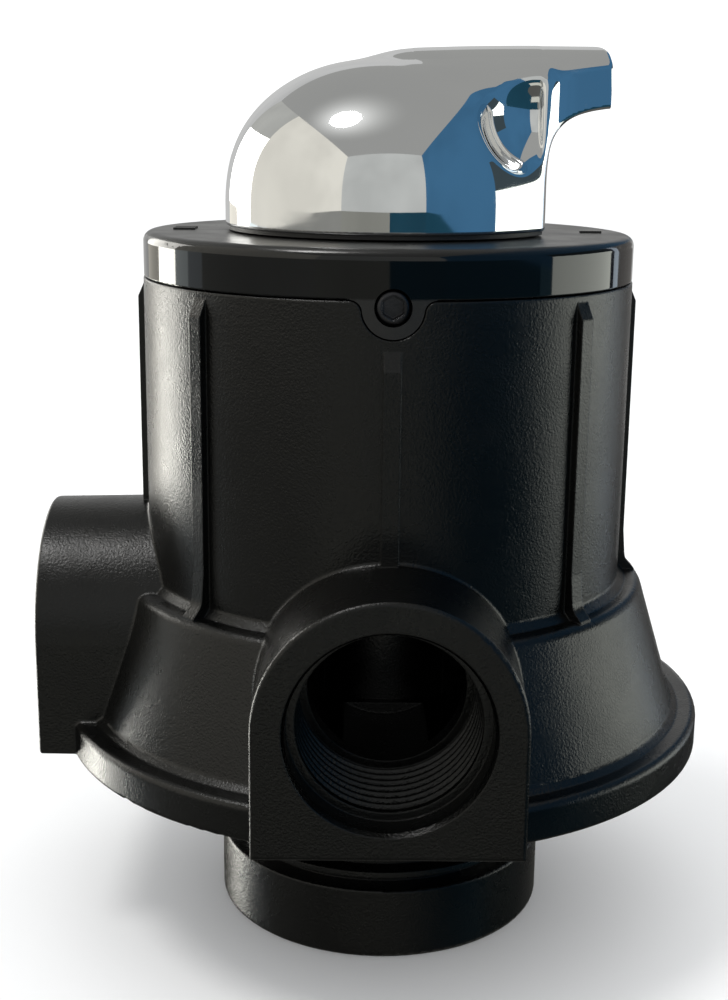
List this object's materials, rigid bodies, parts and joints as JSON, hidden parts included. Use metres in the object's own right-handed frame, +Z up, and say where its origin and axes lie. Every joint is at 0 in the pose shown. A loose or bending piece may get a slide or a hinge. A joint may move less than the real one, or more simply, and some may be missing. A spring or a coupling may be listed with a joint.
{
  "type": "multiport valve",
  "caption": "Hand-operated multiport valve for a pressure tank: ribbed round body with a flange, threaded side ports, a bottom neck and a chrome lever handle.",
  "frame": {"origin": "on the valve's axis at the bottom of its neck", "axes": "+Z up along the handle's axis; +X the way the lever points at rest, where the body has no port; the ports look to -Y (inlet), +Y (outlet) and -X (drain)"},
  "size_m": [0.1253, 0.128, 0.1645],
  "materials": {
    "body_plastic": "satin, fine moulded grain",
    "cover_plastic": "gloss band, satin top",
    "dark_steel": "black oxide",
    "handle_chrome": "bright chrome plate",
    "insert_plastic": "satin",
    "plain_steel": "machined",
    "spring_steel": "drawn wire",
    "stem_plastic": "moulded",
    "bush_plastic": "natural acetal",
    "seal_rubber": "moulded",
    "bonnet_plastic": "glass-filled, moulded",
    "pad_rubber": "moulded",
    "disc_ceramic": "lapped"
  },
  "bodies": {
    "body": {"valve_body": "body_plastic", "top_cover": "cover_plastic", "cover_screws": "dark_steel", "stem_bush": "bush_plastic", "stem_seal_upper": "seal_rubber", "stem_seal_lower": "seal_rubber", "anti_friction_washer": "bush_plastic", "bonnet_nut": "bonnet_plastic", "bonnet_seal": "seal_rubber", "fixed_disc": "disc_ceramic", "fixed_disc_gasket": "pad_rubber", "disc_pins": "plain_steel", "riser_seal": "seal_rubber", "riser_seal_retainer": "bush_plastic", "tank_seal": "seal_rubber"},
    "handle": {"handle_shell": "handle_chrome", "handle_insert": "insert_plastic", "handle_set_screw": "plain_steel", "stem_screw": "plain_steel", "stem_screw_washer": "plain_steel", "detent_spring": "spring_steel", "valve_stem": "stem_plastic", "drive_rotor": "stem_plastic", "rotor_pad": "pad_rubber", "moving_disc": "disc_ceramic"},
    "detent_plunger": {"detent_plunger": "plain_steel"}
  },
  "joints": [
    {"name": "handle_turn", "type": "hinge", "parent": "body", "child": "handle", "pos_m": [0, 0, 0.13], "axis": [0, 0, 1], "range_deg": [0, 180]},
    {"name": "detent_travel", "type": "slide", "parent": "handle", "child": "detent_plunger", "axis": [0, 0, -1], "range_m": [0, 0.001], "stiffness_N_per_m": 800, "springref_m": 0.001, "deforming": ["detent_spring"]}
  ]
}
